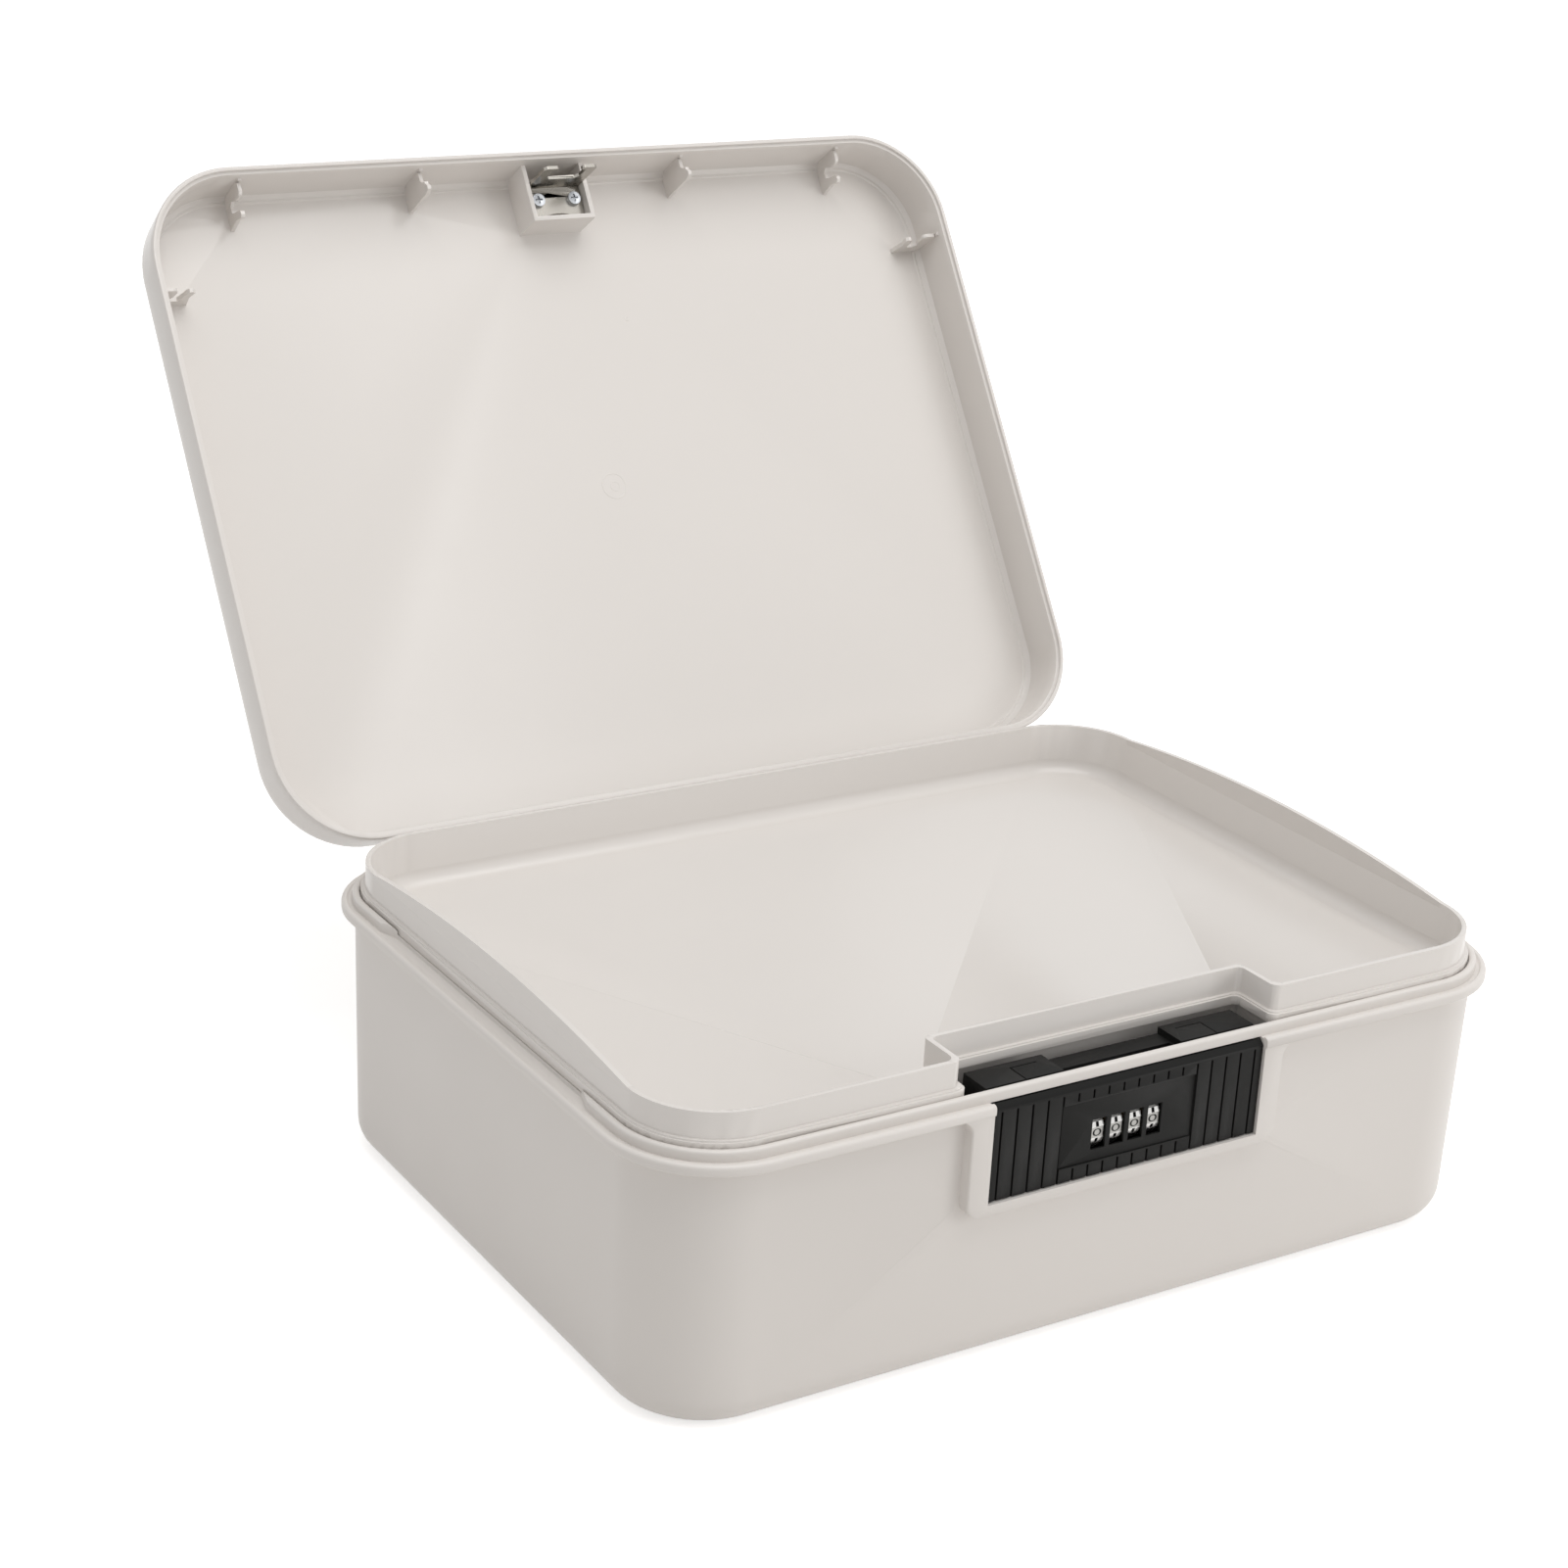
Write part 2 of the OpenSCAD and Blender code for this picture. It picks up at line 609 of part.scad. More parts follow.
module tray() color("#DDD9D4") {
    top = rim_z + tray_rise;
    bottom = top - tray_depth;
    flange_z = [ledge_z + gap, ledge_z + 3.6];
    corner_fill = 1.4;
    difference() {
        union() {
            translate([0, 0, bottom - tray_t]) linear_extrude(tray_depth + tray_t) tray_outline(0);
            translate([0, 0, flange_z[0]]) linear_extrude(flange_z[1] - flange_z[0] - 0.5)
                tray_outline(bead_in + gap - tray_inset);
            translate([0, 0, flange_z[0]]) linear_extrude(flange_z[1] - flange_z[0])
                tray_outline(bead_in + gap + 0.5 - tray_inset);
        }
        translate([0, 0, bottom + corner_fill]) linear_extrude(cut) tray_outline(tray_t);
        translate([0, 0, bottom]) linear_extrude(cut) tray_outline(tray_t + corner_fill);
    }
}

// The black front plate: grip grooves, a smooth panel with four windows, and two guide posts behind
module front_plate() color("#2A2A2B") {
    bevel = 1.5;
    panel_z = [plate_mid_z - 0.5 - panel_h / 2, plate_mid_z - 0.5 + panel_h / 2];
    difference() {
        union() {
            crosswise(0, plate_w) polygon([
                [plate_rear, plate_top], [plate_rear, plate_bottom],
                [plate_y + 0.3, plate_bottom], [plate_y, plate_bottom + 0.3],
                [plate_y, plate_top - bevel], [plate_y + bevel, plate_top]]);
            for (side = [-1, 1]) {
                translate([side * post_x, 0, post_z]) along_y(post_r, plate_rear - 0.5, post_l + 0.5);
                translate([side * carrier_screw_x, 0, carrier_screw_z[0]])
                    along_y(2.2, plate_rear - 0.5, latch_tab_t + 0.5);
            }
        }
        for (i = [0:8], side = [-1, 1]) difference() {
            x = side * (i + 0.5) * groove_pitch;
            block([x - groove_w / 2, x + groove_w / 2], [plate_y - 1, plate_y + groove_w],
                  [plate_bottom - 1, plate_top - 2.4]);
            if (i < 4)
                block([x - groove_w, x + groove_w], [plate_y - 2, plate_rear],
                      [panel_z[0] - 0.6, panel_z[1] + 0.6]);
        }
        block([-panel_w / 2, panel_w / 2], [plate_y - 1, plate_y + panel_step], panel_z);
        for (i = [0:dials - 1])
            block([dial_x(i) - window_w / 2, dial_x(i) + window_w / 2], [plate_y - 1, plate_rear + 1],
                  [dial_z - window_h / 2, dial_z + window_h / 2]);
        block([-cheek_in, cheek_in], [plate_y + panel_step + window_t, plate_rear + 1],
              [dial_z - dial_r - 0.5, dial_z + dial_r + 0.5]);
        for (side = [-1, 1], z = carrier_screw_z)
            translate([side * carrier_screw_x, 0, z]) along_y(0.95, plate_rear - 1.2, 1.3 + latch_tab_t);
    }
}

// The frame that is screwed to the plate's back and holds the dials' axle in two cheeks
module dial_carrier() color("#333334") difference() {
    union() {
        block([-carrier_w / 2, carrier_w / 2], [carrier_y, carrier_y + carrier_t], carrier_z);
        for (side = [-1, 1])
            block(side > 0 ? [cheek_in, cheek_in + cheek_t] : [-cheek_in - cheek_t, -cheek_in],
                  [carrier_y, dial_y + 3], [dial_z - 5, dial_z + 5]);
    }
    block([-cheek_in, cheek_in], [carrier_y - 1, carrier_y + carrier_t + 1],
          [dial_z - carrier_hole, dial_z + carrier_hole]);
    block([-carrier_dip, carrier_dip], [carrier_y - 1, carrier_y + carrier_t + 1],
          [hook_z - gap, carrier_z[1] + 1]);
    translate([0, dial_y, dial_z]) along_x(axle_r + shaft_gap / 2, 0, cut);
    for (side = [-1, 1], z = carrier_screw_z)
        translate([side * carrier_screw_x, 0, z]) along_y(1, carrier_y - 1, carrier_t + 2);
}

module carrier_screws() color("#B9BCC0")
    for (side = [-1, 1], z = carrier_screw_z) translate([side * carrier_screw_x, 0, z]) {
        along_y(0.9, plate_rear - 1.1, carrier_y + carrier_t - plate_rear + 1.1);
        along_y(1.7, carrier_y + carrier_t, 1);
    }

module dial_axle() color("#B9BCC0")
    translate([0, dial_y, dial_z]) along_x(axle_r, 0, 2 * (cheek_in + cheek_t));

// A leaf spring with one finger under each dial
module detent_spring() color("#C9A45A") {
    leaf_t = 0.4;
    leaf_y = carrier_y + carrier_t;
    leaf_z = carrier_z[0] + 0.2;
    tip_z = dial_z - dial_r - run_gap;
    block([dial_x(0) - 2.5, dial_x(dials - 1) + 2.5], [leaf_y, leaf_y + leaf_t], [leaf_z, leaf_z + 1.8]);
    for (i = [0:dials - 1]) crosswise(dial_x(i), 3) polygon([
        [leaf_y, leaf_z], [leaf_y, leaf_z + leaf_t], [dial_y - 0.8, tip_z], [dial_y + 0.8, tip_z],
        [dial_y + 3, tip_z - 0.8], [dial_y + 3, tip_z - 0.8 - leaf_t], [dial_y + 0.8, tip_z - leaf_t],
        [dial_y - 0.8, tip_z - leaf_t], [leaf_y + leaf_t, leaf_z]]);
}

// The steel latch: two arms from the plate, a cross bar behind the catch and a ramped nose under its hooks
module latch_bar() color("#B9BCC0") {
    ramp = 1.9;
    for (side = [-1, 1]) {
        arm = [side * arm_x - arm_w / 2, side * arm_x + arm_w / 2];
        block(arm, [plate_rear, bar_y + bar_w], [latch_z, latch_z + latch_t]);
        difference() {
            block(arm, [plate_rear, plate_rear + latch_tab_t], [carrier_screw_z[1] - 2, latch_z + latch_t]);
            translate([side * carrier_screw_x, 0, carrier_screw_z[1]])
                along_y(1, plate_rear - 1, latch_tab_t + 2);
        }
    }
    block([-arm_x - arm_w / 2, arm_x + arm_w / 2], [bar_y, bar_y + bar_w], [latch_z, latch_z + latch_t]);
    crosswise(0, nose_w) polygon([
        [nose_tip, latch_z], [nose_tip + ramp, nose_top],
        [bar_y + bar_w, nose_top], [bar_y + bar_w, latch_z]]);
}

// A return spring: one unbroken wire wound round the guide post
module return_spring(side) {
    sides = 6;
    rings_per_turn = 12;
    rings = spring_turns * rings_per_turn;
    function wire_point(i, k) = let (
        a = 360 * i / rings_per_turn, r = spring_r + spring_wire_r * cos(360 * k / sides),
        rise = min(max((i / rings - 0.05) / 0.9, 0), 1) * (spring_l - 2 * spring_wire_r))
        [r * cos(a), spring_wire_r + rise + spring_wire_r * sin(360 * k / sides), r * sin(a)];
    points = [for (i = [0:rings], k = [0:sides - 1]) wire_point(i, k)];
    tube = [for (i = [0:rings - 1], k = [0:sides - 1])
        let (a = i * sides + k, b = i * sides + (k + 1) % sides) [a, b, b + sides, a + sides]];
    ends = [[for (k = [sides - 1:-1:0]) k], [for (k = [0:sides - 1]) rings * sides + k]];
    translate([side * post_x, plate_rear + 0.05, post_z])
        polyhedron(points, concat(tube, ends), convexity = 8);
}

module return_spring_left() color("#B9BCC0") return_spring(-1);
module return_spring_right() color("#B9BCC0") return_spring(1);

// The middle of a code disc across the lock
function disc_x(i) = dial_x(i) + (dial_w + disc_t) / 2;

// A number dial: ten flats, with a pair of grips and a slot between them at each edge
module number_dial(i) color("#C9CCD0") translate([dial_x(i), dial_y, dial_z]) difference() {
    flat_r = dial_r * 0.92;
    slot_w = 1.2;
    grip_h = 2.3;
    union() {
        rotate([0, 90, 0]) translate([0, 0, -dial_w / 2])
            cylinder(r = flat_r / cos(18), h = dial_w, $fn = 10);
        for (turn = [0:9]) rotate([36 * turn, 0, 0])
            block([-dial_w / 2, dial_w / 2], [-grip_h / 2, grip_h / 2], [flat_r - 0.6, dial_r - 0.1]);
    }
    for (turn = [0:9]) rotate([36 * turn, 0, 0])
        block([-slot_w / 2, slot_w / 2], [-grip_h / 2, grip_h / 2], [flat_r - 0.9, dial_r + 1]);
    along_x(axle_r + shaft_gap, 0, dial_w + 1);
}

// A code disc: one of its two gates faces the comb when its dial shows the right number
module code_disc(i) color("#C9A45A") translate([disc_x(i), dial_y, dial_z]) difference() {
    along_x(disc_r, 0, disc_t);
    along_x(axle_r + shaft_gap, 0, 2);
    for (turn = [0, 180]) rotate([turn, 0, 0])
        block([-1, 1], [disc_r - push - 0.6, disc_r + 1], [-0.9, 0.9]);
}

module number_dial_1() number_dial(0);
module number_dial_2() number_dial(1);
module number_dial_3() number_dial(2);
module number_dial_4() number_dial(3);
module code_disc_1() code_disc(0);
module code_disc_2() code_disc(1);
module code_disc_3() code_disc(2);
module code_disc_4() code_disc(3);

base_tub();
hinge_pins();
lock_housing();
housing_screws();
lock_cover();
cover_screws();
fence_comb();
lid_shell();
catch_plate();
catch_screws();
tray();
front_plate();
dial_carrier();
carrier_screws();
dial_axle();
detent_spring();
latch_bar();
return_spring_left();
return_spring_right();
number_dial_1();
number_dial_2();
number_dial_3();
number_dial_4();
code_disc_1();
code_disc_2();
code_disc_3();
code_disc_4();
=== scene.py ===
# A plastic lock box with a lift-out tray and a four-dial combination lock, its lid open on the stops
import math

import bmesh
import bpy
from mathutils import Matrix, Vector


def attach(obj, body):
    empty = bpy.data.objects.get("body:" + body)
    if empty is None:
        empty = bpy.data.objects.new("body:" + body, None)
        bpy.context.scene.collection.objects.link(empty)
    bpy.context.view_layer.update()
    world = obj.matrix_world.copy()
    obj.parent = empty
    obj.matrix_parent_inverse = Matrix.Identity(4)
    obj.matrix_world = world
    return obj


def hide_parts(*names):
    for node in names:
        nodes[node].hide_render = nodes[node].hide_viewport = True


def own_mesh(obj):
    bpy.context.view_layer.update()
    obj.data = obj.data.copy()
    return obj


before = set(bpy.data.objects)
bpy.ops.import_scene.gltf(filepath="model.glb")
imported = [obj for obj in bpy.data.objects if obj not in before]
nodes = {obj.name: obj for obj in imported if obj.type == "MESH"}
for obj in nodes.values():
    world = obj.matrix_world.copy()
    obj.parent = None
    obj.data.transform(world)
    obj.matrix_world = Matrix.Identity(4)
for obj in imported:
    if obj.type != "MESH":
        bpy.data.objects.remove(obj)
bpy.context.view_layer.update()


# The camera stands to the front left and looks down a little on the open box.
# Its horizon leans by three degrees, and its lens is long, so the sides stay nearly parallel.
camera_place = Vector((-0.51926, -0.72688, 0.47284))
yaw = math.radians(32.81)
pitch = math.radians(-21.01)
roll = math.radians(3.10)

ahead = Vector((math.sin(yaw) * math.cos(pitch), math.cos(yaw) * math.cos(pitch), math.sin(pitch)))
level = ahead.cross(Vector((0, 0, 1))).normalized()
above = level.cross(ahead)
across = math.cos(roll) * level + math.sin(roll) * above
upward = math.cos(roll) * above - math.sin(roll) * level
stance = Matrix((across, upward, -ahead)).transposed().to_4x4()


def in_scene(name, data):
    thing = bpy.data.objects.new(name, data)
    bpy.context.scene.collection.objects.link(thing)
    return thing


lens = bpy.data.cameras.new("camera")
lens.lens = 71.09
lens.sensor_width = 36
lens.clip_start = 0.01
camera = in_scene("camera", lens)
camera.matrix_world = Matrix.Translation(camera_place) @ stance
bpy.context.scene.camera = camera
bpy.context.scene.view_settings.view_transform = "Standard"


# The studio is a pale paper floor in a white room, with two large soft lamps at a plain level. The camera
# and the gloss see the room as white, and the paper keeps the box's shadow. The front lamp is kept out of
# the gloss, because its mirror image would bleach the lid's top.
floor_reach = 6
floor_gap = 0.0003


def linear(colour):
    channels = [int(colour[i:i + 2], 16) / 255 for i in (1, 3, 5)]
    return tuple(c / 12.92 if c <= 0.04045 else ((c + 0.055) / 1.055) ** 2.4 for c in channels) + (1,)


def add(holder, kind, values=None, links=None, **settings):
    node = holder.node_tree.nodes.new(kind)
    for name, value in settings.items():
        setattr(node, name, value)
    for name, value in (values or {}).items():
        node.inputs[name].default_value = value
    for name, socket in (links or {}).items():
        holder.node_tree.links.new(socket, node.inputs[name])
    return node


def empty_material(name):
    material = bpy.data.materials.new(name)
    material.use_nodes = True
    material.node_tree.nodes.clear()
    return material


# One where the camera or the gloss looks, and zero where light is gathered
def seen(holder):
    path = add(holder, "ShaderNodeLightPath")
    either = add(holder, "ShaderNodeMath", operation="MAXIMUM",
                 links={0: path.outputs["Is Camera Ray"], 1: path.outputs["Is Glossy Ray"]})
    return either.outputs[0]


def soft_lamp(name, place, target, width, height, power):
    data = bpy.data.lights.new(name, "AREA")
    data.shape = "RECTANGLE"
    data.size = width
    data.size_y = height
    data.energy = power
    lamp = in_scene(name, data)
    aim = (Vector(target) - Vector(place)).to_track_quat("-Z", "Y")
    lamp.matrix_world = Matrix.Translation(place) @ aim.to_matrix().to_4x4()
    return lamp


paper = empty_material("white studio paper")
paper_lit = add(paper, "ShaderNodeBsdfDiffuse", {"Color": linear("#E8E6E4")})
paper_glow = add(paper, "ShaderNodeEmission", {"Color": linear("#FFFFFF"), "Strength": 0.62})
paper_bright = add(paper, "ShaderNodeAddShader", links={0: paper_lit.outputs[0], 1: paper_glow.outputs[0]})
paper_mix = add(paper, "ShaderNodeMixShader",
                links={0: seen(paper), 1: paper_lit.outputs[0], 2: paper_bright.outputs[0]})
add(paper, "ShaderNodeOutputMaterial", links={"Surface": paper_mix.outputs[0]})

floor_shape = bmesh.new()
bmesh.ops.create_grid(floor_shape, x_segments=1, y_segments=1, size=floor_reach)
bmesh.ops.translate(floor_shape, verts=floor_shape.verts, vec=(0, 0, -floor_gap))
floor_mesh = bpy.data.meshes.new("floor")
floor_shape.to_mesh(floor_mesh)
floor_shape.free()
floor_mesh.materials.append(paper)
floor = in_scene("floor", floor_mesh)

room = bpy.data.worlds.new("white room")
room.use_nodes = True
room.node_tree.nodes.clear()
bpy.context.scene.world = room
room_fill = add(room, "ShaderNodeBackground", {"Color": linear("#FFFFFF"), "Strength": 0.53})
room_white = add(room, "ShaderNodeBackground", {"Color": linear("#FFFFFF"), "Strength": 1.0})
room_mix = add(room, "ShaderNodeMixShader",
               links={0: seen(room), 1: room_fill.outputs[0], 2: room_white.outputs[0]})
add(room, "ShaderNodeOutputWorld", links={"Surface": room_mix.outputs[0]})

soft_lamp("overhead", (0.08, -0.40, 1.75), (0.08, -0.399, 0), width=1.5, height=1.5, power=16.5)
front_lamp = soft_lamp("front right", (1.35, -1.45, 0.70), (0, 0, 0.10), width=0.9, height=1.1, power=9)
front_lamp.visible_glossy = False


# The base is one injection moulding in warm white polypropylene, with a rolled lip and a raised bead.
# The plastic is satin: its skin has a faint orange peel, drawn at 1.2 mm so that it shows, and its tone
# and gloss drift a little, in patches of about 110 and 26 mm.
merge_gap = 0.000002
crease_angle = 32
tone_patches_per_m = 9
gloss_patches_per_m = 38
peel_size = 0.0012

# Most of a noise lies between these two
noise_low = 0.3
noise_high = 0.7

# A Mix node's colour inputs and result go by number, because its other kinds use the same names
mix_first = 6
mix_second = 7
mix_result = 2


def white_polypropylene(name, colour, drifted, roughness, peel):
    material = empty_material(name)
    place = add(material, "ShaderNodeTexCoord").outputs["Object"]
    flow = add(material, "ShaderNodeTexNoise", {"Scale": tone_patches_per_m, "Detail": 3}, {"Vector": place})
    tone = add(material, "ShaderNodeMix", {mix_first: linear(colour), mix_second: linear(drifted)},
               {0: flow.outputs["Fac"]}, data_type="RGBA")
    handling = add(material, "ShaderNodeTexNoise", {"Scale": gloss_patches_per_m, "Detail": 4},
                   {"Vector": place})
    gloss = add(material, "ShaderNodeMapRange",
                {"From Min": noise_low, "From Max": noise_high,
                 "To Min": roughness - 0.02, "To Max": roughness + 0.02},
                {"Value": handling.outputs["Fac"]})
    skin = add(material, "ShaderNodeTexNoise", {"Scale": 1 / peel_size, "Detail": 2}, {"Vector": place})
    bump = add(material, "ShaderNodeBump", {"Strength": peel, "Distance": 0.0001},
               {"Height": skin.outputs["Fac"]})
    surface = add(material, "ShaderNodeBsdfPrincipled", {"IOR": 1.49},
                  {"Base Color": tone.outputs[mix_result], "Roughness": gloss.outputs[0],
                   "Normal": bump.outputs[0]})
    add(material, "ShaderNodeOutputMaterial", links={"Surface": surface.outputs[0]})
    return material


def onto_body(shape, name, body, slot, *materials):
    mesh = bpy.data.meshes.new(name)
    shape.to_mesh(mesh)
    shape.free()
    for material in materials:
        mesh.materials.append(material)
    piece = in_scene(name, mesh)
    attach(piece, body)
    return piece


def smooth_between(piece, angle):
    piece.data.shade_smooth()
    piece.data.set_sharp_from_angle(angle=math.radians(angle))


def round_edges(piece, name, edge_r, angle):
    rounding = piece.modifiers.new(name, "BEVEL")
    rounding.width = edge_r
    rounding.segments = 2
    rounding.limit_method = "ANGLE"
    rounding.angle_limit = math.radians(angle)
    rounding.harden_normals = True


# A dressed copy of a part: its facets are merged, and its sharp edges get the small radius of the mould
def soft_edged(node, body, slot, material, edge_r):
    shape = bmesh.new()
    shape.from_mesh(nodes[node].data)
    bmesh.ops.remove_doubles(shape, verts=shape.verts, dist=merge_gap)
    piece = onto_body(shape, node + "_finished", body, slot, material)
    smooth_between(piece, crease_angle)
    if edge_r:
        round_edges(piece, "mould radius", edge_r, crease_angle)
    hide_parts(node)
    return piece


satin_white = white_polypropylene("satin moulded polypropylene", "#DAD5D0", "#D8D3CE", 0.42, 0.08)
soft_edged("base_tub", "base", "white_plastic", satin_white, edge_r=0.0003)


# The hinge pins and all screws are zinc-plated steel, a cool bright grey that is a little dull.
# The pins are pressed from the side through the base's ears and the lid's knuckles. The grain of every
# metal here is finer than a render shows, so it is drawn at 0.15 to 0.4 mm, over clouds of 6 mm.
metal_cloud = 0.006


def plated_metal(name, colour, worn, roughness, grain_mm):
    material = empty_material(name)
    place = add(material, "ShaderNodeTexCoord").outputs["Object"]
    cloud = add(material, "ShaderNodeTexNoise", {"Scale": 1 / metal_cloud, "Detail": 3}, {"Vector": place})
    tone = add(material, "ShaderNodeMix", {mix_first: linear(colour), mix_second: linear(worn)},
               {0: cloud.outputs["Fac"]}, data_type="RGBA")
    gloss = add(material, "ShaderNodeMapRange",
                {"From Min": noise_low, "From Max": noise_high,
                 "To Min": roughness - 0.05, "To Max": roughness + 0.07},
                {"Value": cloud.outputs["Fac"]})
    grain = add(material, "ShaderNodeTexNoise", {"Scale": 1000 / grain_mm, "Detail": 2}, {"Vector": place})
    bump = add(material, "ShaderNodeBump", {"Strength": 0.08, "Distance": 0.00005},
               {"Height": grain.outputs["Fac"]})
    surface = add(material, "ShaderNodeBsdfPrincipled", {"Metallic": 1},
                  {"Base Color": tone.outputs[mix_result], "Roughness": gloss.outputs[0],
                   "Normal": bump.outputs[0]})
    add(material, "ShaderNodeOutputMaterial", links={"Surface": surface.outputs[0]})
    return material


zinc_plate = plated_metal("zinc-plated steel", "#B9BBBE", "#A7AAAE", 0.30, 0.3)
soft_edged("hinge_pins", "base", "plated_steel", zinc_plate, edge_r=0.0002)


# The lock's housing and its rear cover are moulded in black ABS and screwed to ears inside the base.
# The tool is spark-eroded, so the black is matt with an even grain. The real grain is below 0.1 mm, and
# it is drawn at 0.5 mm, where it still shows.
black_cloud = 0.015
spark_size = 0.0005


def black_abs(name, colour, dusty, roughness, texture):
    material = empty_material(name)
    place = add(material, "ShaderNodeTexCoord").outputs["Object"]
    cloud = add(material, "ShaderNodeTexNoise", {"Scale": 1 / black_cloud, "Detail": 4}, {"Vector": place})
    tone = add(material, "ShaderNodeMix", {mix_first: linear(colour), mix_second: linear(dusty)},
               {0: cloud.outputs["Fac"]}, data_type="RGBA")
    gloss = add(material, "ShaderNodeMapRange",
                {"From Min": noise_low, "From Max": noise_high,
                 "To Min": roughness - 0.05, "To Max": roughness + 0.05},
                {"Value": cloud.outputs["Fac"]})
    sparks = add(material, "ShaderNodeTexVoronoi", {"Scale": 1 / spark_size}, {"Vector": place})
    bump = add(material, "ShaderNodeBump", {"Strength": texture, "Distance": 0.00004},
               {"Height": sparks.outputs["Distance"]})
    surface = add(material, "ShaderNodeBsdfPrincipled", {"IOR": 1.53, "Specular IOR Level": 0.14},
                  {"Base Color": tone.outputs[mix_result], "Roughness": gloss.outputs[0],
                   "Normal": bump.outputs[0]})
    add(material, "ShaderNodeOutputMaterial", links={"Surface": surface.outputs[0]})
    return material


matt_black = black_abs("spark-textured ABS", "#131312", "#171716", 0.50, 0.20)
soft_edged("lock_housing", "base", "black_plastic", matt_black, edge_r=0.00025)
soft_edged("lock_cover", "base", "black_plastic", matt_black, edge_r=0.0002)
soft_edged("housing_screws", "base", "plated_steel", zinc_plate, edge_r=0.0003)
soft_edged("cover_screws", "base", "plated_steel", zinc_plate, edge_r=0.0003)


# The comb that the code discs meet is stamped from brass, and so are the discs.
# Rolled brass strip that has tarnished to brown has a soft dull shine, and stays dark in the lock.
def finish_with(material, *names):
    for name in names:
        for place in nodes[name].material_slots:
            place.material = material


brass_strip = plated_metal("tarnished rolled brass", "#33291B", "#2A2217", 0.50, 0.2)
finish_with(brass_strip, "fence_comb", "code_disc_1", "code_disc_2", "code_disc_3", "code_disc_4")


# The front plate is the button: a black ABS moulding with grip grooves and a smooth panel for the dials.
# Its bevelled top edge catches the light as a thin grey line.
soft_edged("front_plate", "lock_button", "black_plastic", matt_black, edge_r=0.0002)


# Behind the plate, a black acetal carrier holds the dials on their ground steel axle. Acetal is smoother
# and shinier than the plate, because its tool is polished. The axle is bright, and the detent spring that
# clicks the dials into place is a duller grey.
acetal = black_abs("moulded acetal", "#1C1C1D", "#222223", 0.32, 0.04)
bright_steel = plated_metal("ground steel", "#C2C3C5", "#B4B6B9", 0.20, 0.15)
spring_steel = plated_metal("drawn spring steel", "#97989A", "#838487", 0.30, 0.2)
soft_edged("dial_carrier", "lock_button", "black_plastic", acetal, edge_r=0.0002)
soft_edged("carrier_screws", "lock_button", "plated_steel", zinc_plate, edge_r=0.0003)
soft_edged("dial_axle", "lock_button", "plated_steel", bright_steel, edge_r=0.0002)
soft_edged("latch_bar", "lock_button", "plated_steel", zinc_plate, edge_r=0.0002)
finish_with(spring_steel, "detent_spring")


# The return springs are coiled cold from drawn spring wire, which keeps a dull grey shine.
# They stand on the housing at their rear ends, and the plate bears on them from the front.
for node in ("return_spring_left", "return_spring_right"):
    coil = soft_edged(node, "base", "plated_steel", spring_steel, edge_r=0)
    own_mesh(coil)


# The number dials are zinc die castings plated in bright chrome: rings with ten flats for the digits, and
# slotted grips between them that stand a little proud. The flats are satin, so that the digits are easy to
# read. The digits are filled with black paint, and the zeros face the front. The slots are painted black
# too, as painted shade for the dark that one sees looking into the gap.
dial_places = [-0.01005, -0.00335, 0.00335, 0.01005]
dial_axis_y = -0.103965
dial_axis_z = 0.06705
dial_r = 0.0081
dial_half_w = 0.00225
bore_r = 0.00105
flats = 10
flat_turn = 360 / flats
flat_half_angle = 11.2
flat_r = dial_r * math.cos(math.radians(flat_half_angle))
grip_proud = 0.00016
step_angle = 0.8
slot_from = 0.06
slot_half_w = 0.0005
slot_deep = 0.0006
cast_edge_r = 0.00008
cast_crease_angle = 10
digit_h = 0.0023
digit_w = 0.0031
one_w = digit_w * 0.45
digit_rise = 0.00002
stroke_thinned = 0.003

chrome = plated_metal("bright chrome plate", "#DAD9D7", "#D0CFCD", 0.26, 0.25)
satin_chrome = plated_metal("satin chrome plate", "#A5A4A1", "#9B9A97", 0.36, 0.2)
# This black is both the digits' real paint and the painted shade in the grips' slots.
black_print_and_slot_shade = black_abs("black digit paint and painted slot shade", "#121212", "#181818", 0.55, 0.05)
dial_finishes = [chrome, black_print_and_slot_shade, satin_chrome]


def ring_point(radius, degrees):
    return (radius * math.cos(math.radians(degrees)), radius * math.sin(math.radians(degrees)))


def part_way(start, end, share):
    return tuple(a + (b - a) * share for a, b in zip(start, end))


# A tenth of the dial: one flat, the grip after it with its slot, and as much of the bore
grip_start = ring_point(dial_r + grip_proud, flat_half_angle + step_angle)
grip_end = ring_point(dial_r + grip_proud, flat_turn - flat_half_angle - step_angle)
outline = [ring_point(dial_r, -flat_half_angle), ring_point(dial_r, flat_half_angle),
           grip_start, part_way(grip_start, grip_end, slot_from),
           part_way(grip_start, grip_end, 1 - slot_from), grip_end,
           ring_point(dial_r, flat_turn - flat_half_angle)]
bore = [ring_point(bore_r, turn) for turn in (-12, -6, 0, 6, 12, 18, 24)]
flat_edge = 0
slot_edge = 3


def chain(ring, points, x):
    verts = [ring.verts.new((x, dial_axis_y - y, dial_axis_z + z)) for y, z in points]
    return [ring.edges.new(pair) for pair in zip(verts, verts[1:])]


def face_between(edge, opposite):
    return next(face for face in edge.link_faces if face in opposite.link_faces)


def only(kind, geometry):
    return [part for part in geometry if isinstance(part, kind)]


def settle(shape, name, body, slot, *materials, angle=crease_angle):
    bmesh.ops.remove_doubles(shape, verts=shape.verts, dist=merge_gap)
    bmesh.ops.recalc_face_normals(shape, faces=shape.faces)
    piece = onto_body(shape, name, body, slot, *materials)
    smooth_between(piece, angle)
    return piece


